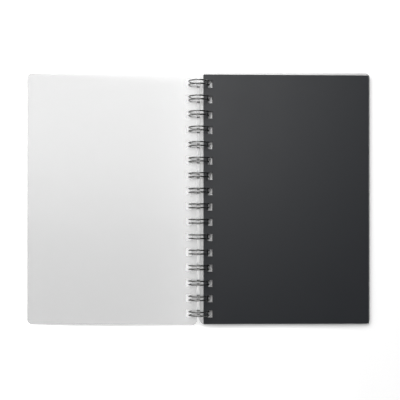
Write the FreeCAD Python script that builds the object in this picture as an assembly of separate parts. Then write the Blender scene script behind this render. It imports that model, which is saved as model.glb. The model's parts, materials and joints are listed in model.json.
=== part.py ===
import FreeCAD, Part
import math
import os

# A notebook bound with a twin-loop wire. It lies open: the front cover is turned over to the left,
# and the black pages lie on the back cover to the right.
# Sizes are in millimetres and angles in degrees. X points from the spine to the fore-edge of the pages,
# Y to the top of the page and Z up. The origin is on the table, below the axis of the rings.

# Pages
page_width = 137.7
page_height = 206.8
page_stack_thickness = 3.3

# Covers, which reach past the pages at the spine, the fore-edge, the top and the bottom
cover_thickness = 0.5
cover_spine_overhang = 1.7
cover_fore_edge_overhang = 3.2
cover_end_overhang = 1.6
cover_corner_radius = 4.0

# Binding wire: a row of hairpin loops on short bars, rolled up into rings
wire_diameter = 1.1
ring_pitch = 12.7
ring_end_margin = 6.0
loop_spacing = 3.0
root_bend_radius = 1.0
tip_to_bar_gap = 0.5
end_stub_length = 2.0

# Punched holes, alike in every leaf. The last size is that of the pages.
hole_width = 4.5
hole_end_clearance = 0.95
hole_to_spine_edge = 2.9

# How the loose pages lie: how far out the middle of the top page's holes is from the wire, and how far
# all of them have slid towards the bottom of the page
top_page_pull = 0.9
page_slip = 0.75

# Clearances
rest_clearance = 0.1
closing_clearance = 0.35
ring_floor_gap = 2.2

cover_width = cover_spine_overhang + page_width + cover_fore_edge_overhang
cover_height = page_height + 2 * cover_end_overhang
wire_radius = wire_diameter / 2
loop_half_spacing = loop_spacing / 2
hole_height = loop_spacing + wire_diameter + 2 * hole_end_clearance
page_hole_middle = hole_to_spine_edge + hole_width / 2
cover_hole_to_spine_edge = hole_to_spine_edge + cover_spine_overhang

ring_count = int((page_height - 2 * ring_end_margin) / ring_pitch) + 1
ring_places = [(i - (ring_count - 1) / 2) * ring_pitch for i in range(ring_count)]

# Counted down from the ring axis, the rings hold half of the closed front cover, the pages, the bars
# of the wire and the back cover.
seam_height = wire_diameter + 2 * rest_clearance
ring_inner_radius = (
    cover_thickness / 2
    + closing_clearance
    + page_stack_thickness
    + seam_height
    + cover_thickness
    + ring_floor_gap
)
ring_radius = ring_inner_radius + wire_radius
ring_axis_height = ring_inner_radius + wire_diameter

V = FreeCAD.Vector


def wire_reach(depth):
    """How far out from the ring axis the wire passes at a depth below it."""
    return math.sqrt(ring_radius**2 - depth**2)


def hole_against_wire(depth):
    """Where a hole starts, out from the ring axis, if its leaf is pulled out until it meets the wire."""
    return math.sqrt(ring_inner_radius**2 - depth**2) - rest_clearance


def tilt_onto_table(reach, depth):
    """The tilt that brings the edge of a leaf, at a reach and a depth from the ring axis, to the table."""
    return math.degrees(math.asin(ring_axis_height / math.hypot(reach, depth)) - math.atan2(depth, reach))


# The back cover lies low in the rings. It is pulled out until its holes meet the inside of the wire,
# and its fore-edge is on the table.
back_cover_depth = ring_inner_radius - ring_floor_gap
back_cover_spine = hole_against_wire(back_cover_depth) - cover_hole_to_spine_edge
back_cover_tilt = tilt_onto_table(back_cover_spine + cover_width, back_cover_depth)

# The front cover points straight out of the ring axis, with the wire in the middle of its holes, and
# its fore-edge is on the table too.
front_cover_spine = wire_reach(0) - hole_width / 2 - cover_hole_to_spine_edge
front_cover_tilt = tilt_onto_table(front_cover_spine + cover_width, cover_thickness / 2)

# The bars of the wire lie on the back cover, just outside the ring circle by their root bend.
bar_circle_radius = math.hypot(ring_radius, root_bend_radius)
bar_depth = back_cover_depth - cover_thickness - rest_clearance - wire_radius
bar_angle = -math.degrees(math.asin(bar_depth / bar_circle_radius)) - back_cover_tilt
root_angle = bar_angle - math.degrees(math.atan(root_bend_radius / ring_radius))
tip_angle = bar_angle + math.degrees(
    tip_to_bar_gap / ring_radius + math.atan(loop_half_spacing / ring_radius)
)

# The pages rest on the bars near the spine and on the back cover at the fore-edge. The bottom page is
# pulled out until its holes meet the wire.
page_seat_drop = seam_height - rest_clearance
page_seat_run = page_width - page_hole_middle
page_tilt = back_cover_tilt + math.degrees(math.asin(page_seat_drop / page_seat_run))
bar_depth_under_page = -bar_circle_radius * math.sin(math.radians(bar_angle + page_tilt))
page_stack_depth = bar_depth_under_page - wire_radius - rest_clearance
page_top_depth = page_stack_depth - page_stack_thickness
bottom_page_spine = hole_against_wire(page_stack_depth) - hole_to_spine_edge
top_page_spine = wire_reach(page_top_depth) + top_page_pull - page_hole_middle


def slanted_slab(low_u, high_u, low_w, high_w, width, length):
    """A slab between two levels, whose side nearest the spine runs from low_u up to high_u."""
    corners = [
        V(low_u, -length / 2, low_w),
        V(low_u + width, -length / 2, low_w),
        V(high_u + width, -length / 2, high_w),
        V(high_u, -length / 2, high_w),
    ]
    outline = Part.makePolygon(corners + corners[:1])
    return Part.Face(outline).extrude(V(0, length, 0))


def punched(leaf, low_u, high_u, low_w, high_w, hole_inset):
    """A leaf with one hole for each ring, at an inset from its spine edge, and as slanted as that edge."""
    rise = high_w - low_w
    lean = high_u - low_u
    hole = slanted_slab(
        low_u + hole_inset - lean,
        high_u + hole_inset + lean,
        low_w - rise,
        high_w + rise,
        hole_width,
        hole_height,
    )
    holes = []
    for place in ring_places:
        copy = hole.copy()
        copy.translate(V(0, place, 0))
        holes.append(copy)
    return leaf.cut(Part.makeCompound(holes)).Solids[0]


def on_ring_axis(leaf, turn, slip=0.0):
    """A leaf turned about the ring axis, from pointing along +X, lifted to the axis and slid along it."""
    leaf.rotate(V(0, 0, 0), V(0, -1, 0), turn)
    leaf.translate(V(0, -slip, ring_axis_height))
    return leaf


def cover(spine, underside):
    """A plastic cover with rounded corners, pointing along +X, with its spine edge at the given place."""
    edges = (spine, spine, underside, underside + cover_thickness)
    slab = slanted_slab(*edges, cover_width, cover_height)
    corner_edges = [e for e in slab.Edges if abs(e.Length - cover_thickness) < 1e-6]
    slab = slab.makeFillet(cover_corner_radius, corner_edges)
    return punched(slab, *edges, cover_hole_to_spine_edge)


def front_cover():
    """The front cover, turned over to the left, which hangs on the rings by its holes."""
    leaf = cover(front_cover_spine, -cover_thickness / 2)
    return on_ring_axis(leaf, 180 + front_cover_tilt)


def back_cover():
    """The back cover, which lies under the pages and the bars of the wire."""
    return on_ring_axis(cover(back_cover_spine, -back_cover_depth), -back_cover_tilt)


def page_block():
    """The black pages as one block, which leans outwards a little, as the round of the rings does."""
    edges = (bottom_page_spine, top_page_spine, -page_stack_depth, -page_top_depth)
    leaf = punched(slanted_slab(*edges, page_width, page_height), *edges, hole_to_spine_edge)
    return on_ring_axis(leaf, -page_tilt, page_slip)


def on_ring(angle, y):
    """A point on the centre line of a ring, at an angle above +X seen from the bottom of the page."""
    a = math.radians(angle)
    return V(ring_radius * math.cos(a), y, ring_axis_height + ring_radius * math.sin(a))


def forward(angle):
    """The direction in which the wire runs there, from its root under the pages round to its tip."""
    a = math.radians(angle)
    return V(math.sin(a), 0, -math.cos(a))


def arc(start, middle, end):
    return Part.Arc(start, middle, end).toShape()


def root_bend(y, side):
    """The quarter bend between the leg of a loop at y and its bar, as its ends and the middle of the bend."""
    leg_end = on_ring(root_angle, y)
    back = -forward(root_angle) * root_bend_radius
    across = V(0, side * root_bend_radius, 0)
    middle = leg_end + back * math.sin(math.radians(45)) + across * (1 - math.cos(math.radians(45)))
    return leg_end, middle, leg_end + back + across


def binding_wire():
    """The whole wire, one length bent to and fro."""
    sweep_end = tip_angle - 360
    half_way = (root_angle + sweep_end) / 2
    tip_forward = forward(tip_angle)
    edges = []
    last = None
    for place in ring_places:
        near = place - loop_half_spacing
        far = place + loop_half_spacing
        leg, bend, bar = root_bend(near, -1)
        start = last if last else bar - V(0, end_stub_length, 0)
        edges.append(Part.LineSegment(start, bar).toShape())
        edges.append(arc(bar, bend, leg))
        edges.append(arc(leg, on_ring(half_way, near), on_ring(tip_angle, near)))
        tip = on_ring(tip_angle, place) + tip_forward * loop_half_spacing
        edges.append(arc(on_ring(tip_angle, near), tip, on_ring(tip_angle, far)))
        leg, bend, bar = root_bend(far, 1)
        edges.append(arc(on_ring(tip_angle, far), on_ring(half_way, far), leg))
        edges.append(arc(leg, bend, bar))
        last = bar
    edges.append(Part.LineSegment(last, last + V(0, end_stub_length, 0)).toShape())
    path = Part.Wire(edges)
    start = edges[0].Vertexes[0].Point
    section = Part.Wire(Part.Circle(start, V(0, 1, 0), wire_radius).toShape())
    solid = path.makePipeShell([section], True, False)
    print("wire length", round(path.Length, 1), "volume over section times length",
          round(solid.Volume / (path.Length * math.pi * wire_radius**2), 5))
    return solid


os.makedirs("parts", exist_ok=True)
nodes = {
    "front_cover": front_cover(),
    "back_cover": back_cover(),
    "page_block": page_block(),
    "binding_wire": binding_wire(),
}
for name, shape in nodes.items():
    shape.exportStep(f"parts/{name}.step")
    box = shape.BoundBox
    print(
        name,
        "valid" if shape.isValid() else "not valid",
        "solids", len(shape.Solids),
        "faces", len(shape.Faces),
        "x", round(box.XMin, 2), round(box.XMax, 2),
        "y", round(box.YMin, 2), round(box.YMax, 2),
        "z", round(box.ZMin, 3), round(box.ZMax, 3),
    )
print("ring axis height", ring_axis_height, "rings", ring_count)
print("front cover tilt", round(front_cover_tilt, 3), "page tilt", round(page_tilt, 3))
print("back cover tilt", round(back_cover_tilt, 3), "bar angle", round(bar_angle, 2))
print("closing angle", round(180 + front_cover_tilt + page_tilt, 3))
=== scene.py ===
# %% [markdown]
# A notebook bound with a twin-loop wire, seen from straight above. It lies open on a white table:
# the frosted front cover is turned over to the left, and the black pages lie on the right.
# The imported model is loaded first. It fixes where each piece is, so nothing here is placed by eye.

# %% Load the frame
import json
import math
import random

import bpy
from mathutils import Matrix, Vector


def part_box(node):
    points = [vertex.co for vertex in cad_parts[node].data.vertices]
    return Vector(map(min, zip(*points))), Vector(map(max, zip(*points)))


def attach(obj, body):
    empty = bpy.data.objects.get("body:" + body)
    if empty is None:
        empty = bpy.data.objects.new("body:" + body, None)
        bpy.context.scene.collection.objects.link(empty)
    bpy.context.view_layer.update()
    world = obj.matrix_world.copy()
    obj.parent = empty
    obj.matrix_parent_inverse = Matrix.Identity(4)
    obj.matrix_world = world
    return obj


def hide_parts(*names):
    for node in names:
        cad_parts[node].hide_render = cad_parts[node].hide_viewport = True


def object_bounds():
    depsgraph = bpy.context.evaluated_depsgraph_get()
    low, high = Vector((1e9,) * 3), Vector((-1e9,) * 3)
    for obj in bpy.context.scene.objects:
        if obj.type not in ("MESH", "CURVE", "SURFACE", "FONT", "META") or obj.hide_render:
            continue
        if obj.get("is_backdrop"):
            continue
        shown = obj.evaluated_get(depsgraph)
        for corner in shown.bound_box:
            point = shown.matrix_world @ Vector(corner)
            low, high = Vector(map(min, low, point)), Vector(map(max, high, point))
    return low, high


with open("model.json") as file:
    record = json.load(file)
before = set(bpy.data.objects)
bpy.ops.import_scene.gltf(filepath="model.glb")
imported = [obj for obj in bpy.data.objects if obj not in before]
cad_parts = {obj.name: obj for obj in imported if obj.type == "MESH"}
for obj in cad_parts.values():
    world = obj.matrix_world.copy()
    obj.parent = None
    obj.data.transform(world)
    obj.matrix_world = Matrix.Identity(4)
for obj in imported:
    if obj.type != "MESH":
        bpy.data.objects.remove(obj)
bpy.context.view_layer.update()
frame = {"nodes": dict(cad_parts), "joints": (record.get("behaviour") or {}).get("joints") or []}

# %% [markdown]
# Blender works in metres, and a bookbinder in millimetres. One factor turns one into the other.
# The sizes that a cutting die, a punch and a wire-bending machine set are named here. Where each
# piece lies, and how large it is, comes from the model.

# %% Sizes of the cutting, the punching and the wire
MM = 0.001
ring_pitch = 12.7 * MM
hole_width = 4.5 * MM
hole_height = 6.0 * MM
hole_to_spine_edge = 2.9 * MM
cover_spine_overhang = 1.7 * MM
loop_half_spacing = 1.5 * MM
tip_to_bar_gap = 0.5 * MM
cover_corner_radius = 4.0 * MM
broken_edge = 0.04 * MM
paper_thickness = 0.3 * MM
wire_radius = 0.55 * MM
root_radius = 1.0 * MM

ring_axis = Vector(frame["joints"][0]["pos_m"])
ring_radius = ring_axis.z - wire_radius
print("the ring axis is", round(ring_axis.z / MM, 2), "mm above the table, and the rings have a radius of",
      round(ring_radius / MM, 2), "mm")

# %% [markdown]
# The camera comes first. The photograph looks straight down. The rings tell where from: the tops of
# the upper ones lean most, and near the eleventh they stand over their feet. So the camera hangs
# nearer the bottom of the page than the middle, and its picture is shifted up, as a shift lens or a
# crop does. How much the rings lean tells the height. The lens follows from the width of table that
# is in the picture.

# %% Camera
camera_height = 680 * MM
table_in_view = 335.5 * MM
camera_right = 0.92 * MM
camera_up = -28.0 * MM
picture_up = -1.05 * MM

bpy.ops.object.camera_add(location=(camera_right, camera_up, camera_height), rotation=(0, 0, 0))
camera = bpy.context.object
camera.data.lens = camera.data.sensor_width * camera_height / table_in_view
camera.data.shift_y = (picture_up - camera_up) / table_in_view
bpy.context.scene.camera = camera
print("the lens is", round(camera.data.lens, 1), "mm")

# %% [markdown]
# The light is a wide soft box that hangs level above the table, beyond the top left corner of the
# notebook. Its near edge ends above the notebook, so that the upper half of the cover mirrors it as
# a pale sheen and the lower half doesn't. Its width makes the shadows short and soft.

# %% Soft box
box_near_corner = Vector((0.55, 0.08, 2.40))
box_size = 3.3
box_power = 144.0

box_middle = box_near_corner + Vector((-box_size / 2, box_size / 2, 0))
bpy.ops.object.light_add(type="AREA", location=box_middle)
soft_box = bpy.context.object
soft_box.data.shape = "SQUARE"
soft_box.data.size = box_size
soft_box.data.energy = box_power
print("the soft box has its middle at", [round(v, 2) for v in box_middle], "m")

# %% [markdown]
# A material is a tree of nodes. Two helpers keep the trees short: one turns a colour written as on
# a paint chart into the linear numbers that shaders use, and one adds a node with its settings and
# its links.

# %% Helpers for nodes
def linear(chart_colour):
    """An sRGB colour such as #F2F2F0 as the linear colour that shaders use."""
    channels = [int(chart_colour[i:i + 2], 16) / 255 for i in (1, 3, 5)]
    return [c / 12.92 if c <= 0.04045 else ((c + 0.055) / 1.055) ** 2.4 for c in channels] + [1.0]


def add_node(tree, kind, inputs=None, **settings):
    """Adds a node. An input is given a number or colour, or is linked to another node's output."""
    node = tree.nodes.new(kind)
    for name, value in settings.items():
        setattr(node, name, value)
    for name, value in (inputs or {}).items():
        if isinstance(value, bpy.types.NodeSocket):
            tree.links.new(value, node.inputs[name])
        else:
            node.inputs[name].default_value = value
    return node


def per_metre(pattern_mm):
    """The Scale of a texture whose features are this many millimetres across."""
    return 1 / (pattern_mm * MM)


def new_material(name):
    """An empty material, with its node tree, its coordinates and its output."""
    material = bpy.data.materials.new(name)
    material.use_nodes = True
    tree = material.node_tree
    tree.nodes.clear()
    coordinates = add_node(tree, "ShaderNodeTexCoord").outputs["Object"]
    output = add_node(tree, "ShaderNodeOutputMaterial")
    return material, tree, coordinates, output


print("white is", linear("#FFFFFF"))

# %% [markdown]
# The room is the world's background. It is light grey on the left and nearly dark on the right,
# worked out from the direction in which a ray leaves. That fills the shadows a little and gives the
# wire a light and a dark side. Rays from the camera see plain white instead.

# %% Room
room_left = 0.36
room_right = 0.04
room_darkens = (-0.9, 0.5)

world = bpy.data.worlds.new("studio_room")
bpy.context.scene.world = world
world.use_nodes = True
room = world.node_tree
room.nodes.clear()
direction = add_node(room, "ShaderNodeTexCoord").outputs["Generated"]
across = add_node(room, "ShaderNodeSeparateXYZ", {"Vector": direction}).outputs["X"]
strength = add_node(
    room,
    "ShaderNodeMapRange",
    {
        "Value": across,
        "From Min": room_darkens[0],
        "From Max": room_darkens[1],
        "To Min": room_left,
        "To Max": room_right,
    },
    interpolation_type="SMOOTHSTEP",
)
sees = add_node(room, "ShaderNodeLightPath")
seen = add_node(room, "ShaderNodeBackground", {"Color": linear("#FFFFFF"), "Strength": 1.0})
lights = add_node(
    room, "ShaderNodeBackground", {"Color": linear("#FFFFFF"), "Strength": strength.outputs[0]}
)
either = add_node(
    room,
    "ShaderNodeMixShader",
    {0: sees.outputs["Is Camera Ray"], 1: lights.outputs[0], 2: seen.outputs[0]},
)
add_node(room, "ShaderNodeOutputWorld", {"Surface": either.outputs[0]})
bpy.context.scene.view_settings.view_transform = "Standard"
print("the room runs from", room_left, "to", room_right)

# %% [markdown]
# The table is matt white. Seen by the camera, through the plastic, or mirrored by the wire, it also
# glows, which is painted light, so that it is full white where no shadow falls. The glow doesn't light
# the notebook, because other rays don't meet it. For the camera it fades where something lies close
# above the table, which keeps the shadow along an edge and paints shade there and in the punched
# holes. On the right it is weak, because the soft shadow beside the pages would be lost in it. On the
# left it is strong, a painted brightening: the photograph shows the table white there, even through
# the punched holes of the cover.

# %% Table
table_size = 6.0
table_glow = 0.55
table_glow_right = 0.12
glow_weakens = (50 * MM, 140 * MM)
glow_fades_within = 8 * MM
glow_fade_power = 3.0

material, tree, coordinates, output = new_material("matt_white_table")
sees = add_node(tree, "ShaderNodeLightPath").outputs
# Painted shade: occlusion dims the glow where something lies close above the table, along edges and in the
# punched holes.
openness = add_node(tree, "ShaderNodeAmbientOcclusion", {"Distance": glow_fades_within})
faded = add_node(
    tree, "ShaderNodeMath", {0: openness.outputs["AO"], 1: glow_fade_power}, operation="POWER"
)
straight = add_node(
    tree,
    "ShaderNodeMath",
    {0: sees["Is Camera Ray"], 1: faded.outputs[0]},
    operation="MULTIPLY",
)
mirrored = add_node(
    tree,
    "ShaderNodeMath",
    {0: straight.outputs[0], 1: sees["Is Glossy Ray"]},
    operation="MAXIMUM",
)
any_way = add_node(
    tree,
    "ShaderNodeMath",
    {0: mirrored.outputs[0], 1: sees["Is Transmission Ray"]},
    operation="MAXIMUM",
)
# Painted light: the glow is stronger on the left of the table than on the right.
along_x = add_node(tree, "ShaderNodeSeparateXYZ", {"Vector": coordinates}).outputs["X"]
strength = add_node(
    tree,
    "ShaderNodeMapRange",
    {
        "Value": along_x,
        "From Min": glow_weakens[0],
        "From Max": glow_weakens[1],
        "To Min": table_glow,
        "To Max": table_glow_right,
    },
    interpolation_type="SMOOTHSTEP",
)
glow = add_node(
    tree, "ShaderNodeMath", {0: any_way.outputs[0], 1: strength.outputs[0]}, operation="MULTIPLY"
)
surface = add_node(
    tree,
    "ShaderNodeBsdfPrincipled",
    {
        "Base Color": linear("#F8F8F8"),
        "Roughness": 0.9,
        "Emission Color": linear("#FFFFFF"),
        "Emission Strength": glow.outputs[0],
    },
)
tree.links.new(surface.outputs[0], output.inputs["Surface"])

bpy.ops.mesh.primitive_plane_add(size=table_size, location=(0, 0, 0))
table = bpy.context.object
table.name = "table"
table.data.materials.append(material)
table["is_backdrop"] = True
print("the table is", table_size, "m wide")

# %% [markdown]
# The covers are polypropylene sheet, rolled with a frosted grain that hides fingerprints. Light goes
# into it and comes out milky: the sheet is white with a soft sheen, and what lies behind it shows
# through, pale. Three settings share this. Transmission blurs the light that the grain scatters.
# Alpha lets some of the view and of the light straight through, as so thin a sheet does. The full
# specular level stands for the mirroring of both faces. The grain is finer than the picture shows,
# so it is drawn at half a millimetre.

# %% Frosted polypropylene
def frosted_polypropylene():
    material, tree, coordinates, output = new_material("frosted_polypropylene_sheet")
    grain = add_node(
        tree,
        "ShaderNodeTexNoise",
        {"Vector": coordinates, "Scale": per_metre(0.5), "Detail": 3.0, "Roughness": 0.6},
    )
    clouds = add_node(
        tree,
        "ShaderNodeTexNoise",
        {"Vector": coordinates, "Scale": per_metre(60), "Detail": 2.0, "Roughness": 0.5},
    )
    colour = add_node(
        tree,
        "ShaderNodeMix",
        {0: clouds.outputs[0], 6: linear("#DFDFDF"), 7: linear("#DCDCDC")},
        data_type="RGBA",
    )
    rough = add_node(
        tree,
        "ShaderNodeMapRange",
        {"Value": grain.outputs[0], "To Min": 0.22, "To Max": 0.28},
    )
    bump = add_node(
        tree,
        "ShaderNodeBump",
        {"Height": grain.outputs[0], "Strength": 0.15, "Distance": 0.05 * MM},
    )
    surface = add_node(
        tree,
        "ShaderNodeBsdfPrincipled",
        {
            "Base Color": colour.outputs[2],
            "Roughness": rough.outputs[0],
            "Normal": bump.outputs[0],
            "IOR": 1.49,
            "Specular IOR Level": 1.0,
            "Transmission Weight": 0.30,
            "Alpha": 0.62,
        },
    )
    tree.links.new(surface.outputs[0], output.inputs["Surface"])
    return material


frosted = frosted_polypropylene()
print("made", frosted.name)

# %% [markdown]
# The pages are album paper, dyed black right through and pressed smooth. It has a satin sheen that
# lifts it to charcoal towards the light, which is why the photograph shows it grey at the top left
# and nearly black at the far corner. Its fibres leave a faint grain, drawn at about half a
# millimetre, and the pressing leaves wide patches that differ a little in gloss.

# %% Black paper
def black_paper():
    material, tree, coordinates, output = new_material("black_dyed_paper")
    fibres = add_node(
        tree,
        "ShaderNodeTexNoise",
        {"Vector": coordinates, "Scale": per_metre(0.6), "Detail": 4.0, "Roughness": 0.65},
    )
    clouds = add_node(
        tree,
        "ShaderNodeTexNoise",
        {"Vector": coordinates, "Scale": per_metre(25), "Detail": 2.0, "Roughness": 0.5},
    )
    colour = add_node(
        tree,
        "ShaderNodeMix",
        {0: fibres.outputs[0], 6: linear("#1D1F22"), 7: linear("#232529")},
        data_type="RGBA",
    )
    rough = add_node(
        tree,
        "ShaderNodeMapRange",
        {"Value": clouds.outputs[0], "To Min": 0.34, "To Max": 0.42},
    )
    bump = add_node(
        tree,
        "ShaderNodeBump",
        {"Height": fibres.outputs[0], "Strength": 0.2, "Distance": 0.04 * MM},
    )
    surface = add_node(
        tree,
        "ShaderNodeBsdfPrincipled",
        {
            "Base Color": colour.outputs[2],
            "Roughness": rough.outputs[0],
            "Normal": bump.outputs[0],
            "IOR": 1.38,
        },
    )
    tree.links.new(surface.outputs[0], output.inputs["Surface"])
    return material


paper = black_paper()
print("made", paper.name)

# %% [markdown]
# The binding is mild steel wire with a dark nickel plating. Metal has no colour of its own beneath
# the surface: what it shows is the room, tinted by the plating. In the photograph the rings are mid
# grey against the cover and nearly black against the pages, so the tint is dark. Drawing the wire
# through a die leaves small dull patches, which the roughness takes from a noise.

# %% Nickel-plated wire
def nickel_plating():
    material, tree, coordinates, output = new_material("nickel_plated_steel")
    marks = add_node(
        tree,
        "ShaderNodeTexNoise",
        {"Vector": coordinates, "Scale": per_metre(0.8), "Detail": 3.0, "Roughness": 0.6},
    )
    rough = add_node(
        tree,
        "ShaderNodeMapRange",
        {"Value": marks.outputs[0], "To Min": 0.16, "To Max": 0.30},
    )
    surface = add_node(
        tree,
        "ShaderNodeBsdfPrincipled",
        {
            "Base Color": linear("#6A6A69"),
            "Metallic": 1.0,
            "Roughness": rough.outputs[0],
        },
    )
    tree.links.new(surface.outputs[0], output.inputs["Surface"])
    return material


nickel = nickel_plating()
print("made", nickel.name)

# %% [markdown]
# Covers and pages are all leaves: thin plates, punched with the same row of holes, that hang on the
# rings. Each leaf of the model is tilted a little about the ring axis. It is easiest to model a leaf
# level, as on the punch, and to tilt it last, so the tilt is read from the model first, from the
# widest triangle of the leaf.

# %% How a leaf lies
def lie_of(node):
    """A leaf's tilt about the ring axis, and its corners with the tilt taken out, from the axis."""
    mesh = frame["nodes"][node].data
    normal = max(mesh.polygons, key=lambda face: face.area).normal
    normal = normal if normal.z > 0 else -normal
    tilt = math.atan2(normal.x, normal.z)
    level = []
    for vertex in mesh.vertices:
        arm = vertex.co - ring_axis
        level.append((
            arm.x * math.cos(tilt) - arm.z * math.sin(tilt),
            arm.y,
            arm.x * math.sin(tilt) + arm.z * math.cos(tilt),
        ))
    low = Vector([min(place[i] for place in level) for i in range(3)])
    high = Vector([max(place[i] for place in level) for i in range(3)])
    return tilt, low, high, level


for node in ("front_cover", "back_cover", "page_block"):
    tilt, low, high, level = lie_of(node)
    print(node, "is tilted by", round(math.degrees(tilt), 2), "degrees and is",
          [round(s / MM, 2) for s in high - low], "mm")

# %% [markdown]
# The punch is a row of rectangular bars, one for each ring. A box and an Array modifier make it,
# and a Boolean modifier takes it out of a leaf, as the machine does. The number of rings is how
# many pitches fit along the wire of the model. The bars are much longer than a leaf is thick, so
# that they go right through it.

# %% Punch
wire_low, wire_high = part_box("binding_wire")
ring_count = int((wire_high.y - wire_low.y) / ring_pitch) + 1
first_ring = -(ring_count - 1) / 2 * ring_pitch
bar_length = 20 * MM


def only(thing):
    """Makes a thing the one selected and active object."""
    bpy.ops.object.select_all(action="DESELECT")
    thing.select_set(True)
    bpy.context.view_layer.objects.active = thing


def apply_modifier(thing, kind, **settings):
    """Adds a modifier to a thing and applies it."""
    only(thing)
    modifier = thing.modifiers.new(kind.lower(), kind)
    for name, value in settings.items():
        setattr(modifier, name, value)
    bpy.ops.object.modifier_apply(modifier=modifier.name)


def punch(leaf, row):
    """Takes a row of holes out of a leaf. The middle of the row lies at the point row."""
    bpy.ops.object.select_all(action="DESELECT")
    bpy.ops.mesh.primitive_cube_add(
        size=1,
        location=row + Vector((0, first_ring, 0)),
        scale=(hole_width, hole_height, bar_length),
    )
    bars = bpy.context.object
    apply_modifier(
        bars,
        "ARRAY",
        count=ring_count,
        use_relative_offset=False,
        use_constant_offset=True,
        constant_offset_displace=(0, ring_pitch, 0),
    )
    apply_modifier(leaf, "BOOLEAN", operation="DIFFERENCE", object=bars, solver="EXACT")
    bpy.data.objects.remove(bars)


print(ring_count, "rings, the first at", round(first_ring / MM, 2), "mm")

# %% [markdown]
# A leaf starts as a box of its size. A cover has its four corners rounded, which is a bevel of the
# four upright edges. After punching, all sharp edges are broken very slightly, as a cutting die
# leaves them. At last the leaf is tilted about the ring axis and lifted to the height of the axis.

# %% Leaf
corner_steps = 10


def cut_leaf(name, low, high, hole_inset, corner_radius=0.0):
    """A level, punched leaf between two corners. A negative hole inset runs from its high side."""
    middle = (low + high) / 2
    size = high - low
    bpy.ops.object.select_all(action="DESELECT")
    bpy.ops.mesh.primitive_cube_add(size=1, location=middle, scale=size)
    leaf = bpy.context.object
    leaf.name = name
    bpy.ops.object.transform_apply(location=True, rotation=True, scale=True)
    if corner_radius:
        bpy.ops.object.mode_set(mode="EDIT")
        bpy.ops.mesh.select_mode(type="EDGE")
        bpy.ops.mesh.select_all(action="DESELECT")
        bpy.ops.object.mode_set(mode="OBJECT")
        for edge in leaf.data.edges:
            ends = [leaf.data.vertices[i].co for i in edge.vertices]
            edge.select = abs(ends[0].z - ends[1].z) > size.z / 2
        bpy.ops.object.mode_set(mode="EDIT")
        bpy.ops.mesh.bevel(offset=corner_radius, segments=corner_steps, affect="EDGES")
        bpy.ops.object.mode_set(mode="OBJECT")
    reach = abs(hole_inset) + hole_width / 2
    punch(leaf, Vector((low.x + reach if hole_inset > 0 else high.x - reach, middle.y, middle.z)))
    apply_modifier(leaf, "BEVEL", width=broken_edge, segments=2, limit_method="ANGLE")
    return leaf


def hang(leaf, tilt, body, node, material):
    """Tilts a level leaf about the ring axis, gives it its finish and ties it to the frame."""
    only(leaf)
    leaf.location = ring_axis
    leaf.rotation_euler = (0, tilt, 0)
    bpy.ops.object.transform_apply(location=True, rotation=True, scale=True)
    leaf.data.materials.clear()
    leaf.data.materials.append(material)
    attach(leaf, body)
    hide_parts(node)
    print(leaf.name, "has", len(leaf.data.polygons), "faces")


cover_inset = hole_to_spine_edge + cover_spine_overhang
for node, body, inset in (("front_cover", "front", -cover_inset), ("back_cover", "back", cover_inset)):
    tilt, low, high, level = lie_of(node)
    leaf = cut_leaf("frosted_" + node, low, high, inset, cover_corner_radius)
    hang(leaf, tilt, body, node, frosted)

# %% [markdown]
# The page block is one solid in the model. Here it is taken apart into its pages, because the
# spine edge and the walls of the holes show them one by one. One page is cut and punched, and then
# copied down the stack. Each copy is shifted along the slant of the block, and by a hair's breadth
# at random, since loose pages never lie quite true.

# %% Pages
tilt, low, high, level = lie_of("page_block")
bottom = [place for place in level if place[2] < low.z + paper_thickness / 2]
top = [place for place in level if place[2] > high.z - paper_thickness / 2]
bottom_spine = min(place[0] for place in bottom)
top_spine = min(place[0] for place in top)
page_width = max(place[0] for place in bottom) - bottom_spine
page_count = round((high.z - low.z) / paper_thickness)
page_gap = 0.02 * MM
stray = 0.06 * MM
chance = random.Random(5)

first_low = Vector((bottom_spine, low.y, low.z))
first_high = Vector((bottom_spine + page_width, high.y, low.z + paper_thickness - page_gap))
page = cut_leaf("black_pages", first_low, first_high, hole_to_spine_edge)
pages = [page]
for number in range(1, page_count):
    only(page)
    bpy.ops.object.duplicate()
    copy = bpy.context.object
    share = number / (page_count - 1)
    copy.location = (
        share * (top_spine - bottom_spine) + chance.uniform(-stray, stray),
        chance.uniform(-stray, stray),
        number * paper_thickness,
    )
    pages.append(copy)
bpy.ops.object.select_all(action="DESELECT")
for copy in pages:
    copy.select_set(True)
bpy.context.view_layer.objects.active = page
bpy.ops.object.join()
hang(page, tilt, "pages", "page_block", paper)
print("the block holds", page_count, "pages")

# %% [markdown]
# A machine bends the binding from one length of wire: a short bar, a quarter bend, a long leg, a
# hairpin, the leg back, a quarter bend and the next bar. Then it rolls the row of hairpins up into
# rings. The Spin tool bends a tube in just that way: it turns the last circle of the tube about a
# centre and leaves a tube behind. The places of the bends come from the end of the model's wire,
# which is a bar.

# %% Where the wire bends
wire_mesh = frame["nodes"]["binding_wire"].data
end_points = [v.co for v in wire_mesh.vertices if v.co.y > wire_high.y - 0.001 * MM]
bar_arm = sum(end_points, Vector()) / len(end_points) - ring_axis
bar_angle = math.atan2(bar_arm.z, bar_arm.x)
bar_reach = math.hypot(ring_radius, root_radius)
bar = ring_axis + Vector((bar_reach * math.cos(bar_angle), 0, bar_reach * math.sin(bar_angle)))
root_angle = bar_angle - math.atan(root_radius / ring_radius)
tip_angle = bar_angle + tip_to_bar_gap / ring_radius + math.atan(loop_half_spacing / ring_radius)
print("the bars lie at", round(math.degrees(bar_angle), 2), "degrees round the ring")

# %% [markdown]
# One twin loop is bent round the origin of Y. A spin takes its centre, its axis and its angle. The
# last circle stays selected after each step, so the next bend goes on from it.

# %% One twin loop
tube_sides = 14


def on_ring(angle, y):
    """A point on the centre line of a ring."""
    return ring_axis + Vector((ring_radius * math.cos(angle), y, ring_radius * math.sin(angle)))


def forward(angle):
    """The direction of the wire there, on its way from the root to the tip."""
    return Vector((math.sin(angle), 0, -math.cos(angle)))


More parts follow.
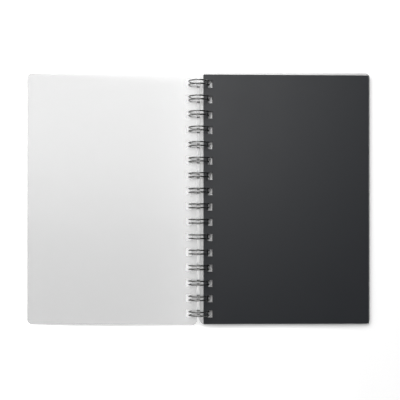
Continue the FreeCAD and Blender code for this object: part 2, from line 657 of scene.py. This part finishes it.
def spin(centre, axis, angle, steps):
    """Bends the tube on from its last circle, by the right-hand rule about the axis."""
    bpy.ops.mesh.spin(steps=steps, angle=-angle, center=centre, axis=axis)


along = Vector((0, 1, 0))
straight = ring_pitch / 2 - loop_half_spacing - root_radius
root_forward = forward(root_angle)
tip_forward = forward(tip_angle)
sweep = root_angle - tip_angle + 2 * math.pi
ring_steps = 64
bend_steps = 6

bpy.ops.object.select_all(action="DESELECT")
bpy.ops.mesh.primitive_circle_add(
    vertices=tube_sides,
    radius=wire_radius,
    location=(bar.x, -ring_pitch / 2, bar.z),
    rotation=(math.radians(90), 0, 0),
)
wire = bpy.context.object
wire.name = "twin_loop_wire"
bpy.ops.object.transform_apply(location=True, rotation=True, scale=True)
bpy.ops.object.mode_set(mode="EDIT")
bpy.ops.mesh.select_all(action="SELECT")
bpy.ops.mesh.extrude_region_move(TRANSFORM_OT_translate={"value": (0, straight, 0)})
near_root = on_ring(root_angle, -loop_half_spacing)
far_root = on_ring(root_angle, loop_half_spacing)
spin(near_root - root_radius * along, along.cross(root_forward), math.pi / 2, bend_steps)
spin(ring_axis, along, sweep, ring_steps)
spin(on_ring(tip_angle, 0), tip_forward.cross(along), math.pi, 2 * bend_steps)
spin(ring_axis, -along, sweep, ring_steps)
spin(far_root + root_radius * along, along.cross(root_forward), math.pi / 2, bend_steps)
bpy.ops.mesh.extrude_region_move(TRANSFORM_OT_translate={"value": (0, straight, 0)})
bpy.ops.object.mode_set(mode="OBJECT")
loop_ends = [min(v.co.y for v in wire.data.vertices), max(v.co.y for v in wire.data.vertices)]
print("one loop runs from", [round(y / MM, 2) for y in loop_ends], "mm")

# %% [markdown]
# The row is an Array of that loop, merged where the bars meet. The two ends are cut off where the
# model's wire ends, and the cuts are filled. Smooth shading makes the tube round, and keeps the two
# end faces flat.

# %% The whole wire
bar_merge = 0.02 * MM
double_merge = 0.005 * MM
smooth_below = math.radians(50)

only(wire)
bpy.ops.object.mode_set(mode="EDIT")
bpy.ops.mesh.select_all(action="SELECT")
bpy.ops.transform.translate(value=(0, first_ring, 0))
bpy.ops.object.mode_set(mode="OBJECT")
apply_modifier(
    wire,
    "ARRAY",
    count=ring_count,
    use_relative_offset=False,
    use_constant_offset=True,
    constant_offset_displace=(0, ring_pitch, 0),
    use_merge_vertices=True,
    merge_threshold=bar_merge,
)
only(wire)
bpy.ops.object.mode_set(mode="EDIT")
for side in (-1, 1):
    bpy.ops.mesh.select_all(action="SELECT")
    bpy.ops.mesh.bisect(
        plane_co=(0, side * wire_high.y, 0),
        plane_no=(0, side, 0),
        use_fill=True,
        clear_outer=True,
    )
bpy.ops.mesh.select_all(action="SELECT")
bpy.ops.mesh.remove_doubles(threshold=double_merge)
bpy.ops.mesh.normals_make_consistent(inside=False)
bpy.ops.object.mode_set(mode="OBJECT")
bpy.ops.object.shade_smooth_by_angle(angle=smooth_below)
wire.data.materials.clear()
wire.data.materials.append(nickel)
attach(wire, "back")
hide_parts("binding_wire")
print("the wire has", len(wire.data.polygons), "faces")

# %% [markdown]
# The size of the box of what shows is printed.

# %% Print the size
low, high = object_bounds()
print("shown", [round(1000 * s, 1) for s in high - low], "mm")
